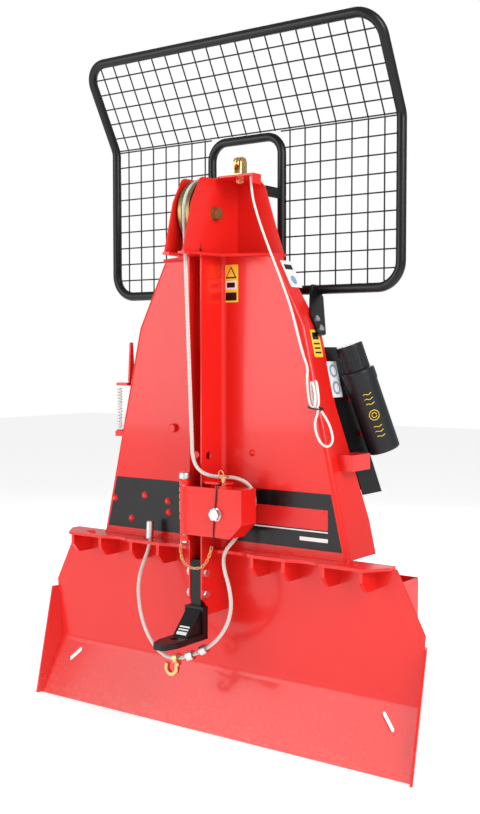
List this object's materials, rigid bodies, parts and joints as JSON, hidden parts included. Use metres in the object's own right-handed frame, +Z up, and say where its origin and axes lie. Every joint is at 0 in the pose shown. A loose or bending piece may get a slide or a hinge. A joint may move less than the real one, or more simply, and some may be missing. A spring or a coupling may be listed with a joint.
{
  "type": "tractor logging winch",
  "caption": "Three-point-hitch forestry winch: folded red tower on a bent butt blade, head pulley, swinging lower pulley, chain-driven drum and mesh screen.",
  "frame": {"origin": "on the ground under the centre of the whole box", "axes": "+X across to the right seen from the rear, +Y towards the tractor, +Z up"},
  "size_m": [1.5488, 0.7, 2.2907],
  "materials": {
    "red_paint": "gloss powder coat",
    "black_paint": "satin powder coat",
    "zinc_plate": "bright zinc plating",
    "yellow_plate": "yellow chromate plating",
    "steel": "oiled machined steel",
    "cast_grey": "painted casting",
    "bronze": "cast bronze, greased",
    "friction": "pressed friction lining",
    "black_plastic": "blow moulded, semi-gloss",
    "wire_rope": "galvanised strands",
    "white_rope": "braided cord"
  },
  "bodies": {
    "frame": {"blade_plate": "red_paint", "blade_wings": "red_paint", "chain_shelf": "red_paint", "shelf_gussets": "red_paint", "tower_plate_right": "red_paint", "tower_plate_left": "red_paint", "column_foot": "red_paint", "head_cheeks": "red_paint", "head_plates": "red_paint", "head_bracket": "red_paint", "sheave_axle": "bronze", "guide_yoke": "yellow_plate", "screen_frame": "black_paint", "screen_mesh_left": "black_paint", "screen_mesh_right": "black_paint", "screen_mesh_top": "black_paint", "screen_brackets": "black_paint", "frame_bolts": "zinc_plate", "block_lugs": "red_paint", "ball_mount": "black_paint", "cross_members": "red_paint", "hitch_plates": "red_paint", "lower_pins": "zinc_plate", "side_trays": "red_paint", "drive_plate": "red_paint", "drum_shaft": "steel", "drum_guard": "black_paint", "bearing_housings": "cast_grey", "pto_guard": "black_plastic", "drive_chain": "steel", "canister_bracket": "red_paint", "canister_body": "black_plastic", "stand_sleeves": "red_paint", "tower_lugs": "red_paint", "main_rope": "wire_rope", "rope_fittings": "zinc_plate", "rope_hook": "yellow_plate", "control_rope": "white_rope", "control_rope_hank": "white_rope", "brake_band": "steel", "brake_spring": "zinc_plate"},
    "drum": {"drum": "red_paint", "wound_rope": "wire_rope"},
    "drive_sprocket": {"large_sprocket": "steel", "clutch_disc": "friction"},
    "input_shaft": {"input_shaft": "steel", "small_sprocket": "steel"},
    "upper_sheave": {"upper_sheave": "bronze"},
    "guide_pulley": {"guide_pulley": "yellow_plate"},
    "lower_block": {"lower_block": "red_paint", "lower_axle": "zinc_plate"},
    "lower_sheave": {"lower_sheave": "bronze"},
    "hinge_pin": {"hinge_pin": "zinc_plate"},
    "latch_pin": {"latch_pin": "yellow_plate"},
    "clutch_lever": {"clutch_lever": "red_paint"},
    "brake_lever": {"brake_lever": "red_paint"},
    "stand_leg_left": {"stand_leg_left": "black_paint"},
    "stand_leg_right": {"stand_leg_right": "black_paint"},
    "top_link_pin": {"top_link_pin": "zinc_plate"},
    "canister_cap": {"canister_cap": "black_plastic"}
  },
  "joints": [
    {"name": "drum_spin", "type": "hinge", "parent": "frame", "child": "drum", "pos_m": [0.1, 0.048, 0.93], "axis": [0, 1, 0], "continuous": true},
    {"name": "drive_sprocket_spin", "type": "hinge", "parent": "frame", "child": "drive_sprocket", "pos_m": [0.1, 0.115, 0.93], "axis": [0, 1, 0], "continuous": true},
    {"name": "input_shaft_spin", "type": "hinge", "parent": "frame", "child": "input_shaft", "pos_m": [0, 0.115, 0.52], "axis": [0, 1, 0], "continuous": true},
    {"name": "upper_sheave_spin", "type": "hinge", "parent": "frame", "child": "upper_sheave", "pos_m": [0, -0.105, 1.7], "axis": [1, 0, 0], "continuous": true},
    {"name": "guide_pulley_spin", "type": "hinge", "parent": "frame", "child": "guide_pulley", "pos_m": [0.096, -0.045, 1.864], "axis": [1, 0, 0], "continuous": true},
    {"name": "lower_block_swing", "type": "hinge", "parent": "frame", "child": "lower_block", "pos_m": [-0.025, -0.182, 0.743], "axis": [0, 0, -1], "range_deg": [0, 110]},
    {"name": "lower_sheave_spin", "type": "hinge", "parent": "lower_block", "child": "lower_sheave", "pos_m": [0.109, -0.161, 0.743], "axis": [0, 1, 0], "continuous": true},
    {"name": "hinge_pin_pull", "type": "slide", "parent": "frame", "child": "hinge_pin", "axis": [0, 0, 1], "range_m": [0, 0.19]},
    {"name": "latch_pin_pull", "type": "slide", "parent": "lower_block", "child": "latch_pin", "axis": [0, 0, 1], "range_m": [0, 0.045]},
    {"name": "clutch_lever_pull", "type": "hinge", "parent": "frame", "child": "clutch_lever", "pos_m": [0.1, 0.135, 0.93], "axis": [0, -1, 0], "range_deg": [0, 15], "stiffness_Nm_per_rad": 8},
    {"name": "brake_lever_pull", "type": "hinge", "parent": "frame", "child": "brake_lever", "pos_m": [-0.3998, -0.008, 1.15], "axis": [1, 0, 0], "range_deg": [0, 12], "stiffness_Nm_per_rad": 6, "deforming": ["brake_spring"]},
    {"name": "stand_left_slide", "type": "slide", "parent": "frame", "child": "stand_leg_left", "axis": [0, 0, 1], "range_m": [0, 0.2]},
    {"name": "stand_right_slide", "type": "slide", "parent": "frame", "child": "stand_leg_right", "axis": [0, 0, 1], "range_m": [0, 0.2]},
    {"name": "top_link_pin_pull", "type": "slide", "parent": "frame", "child": "top_link_pin", "axis": [1, 0, 0], "range_m": [0, 0.12]},
    {"name": "canister_cap_pull", "type": "slide", "parent": "frame", "child": "canister_cap", "axis": [-0.2267, -0.2544, 0.9401], "range_m": [0, 0.06]}
  ],
  "couplings": [
    {"joint": "input_shaft_spin", "follows": "drive_sprocket_spin", "ratio": 2.9091}
  ]
}
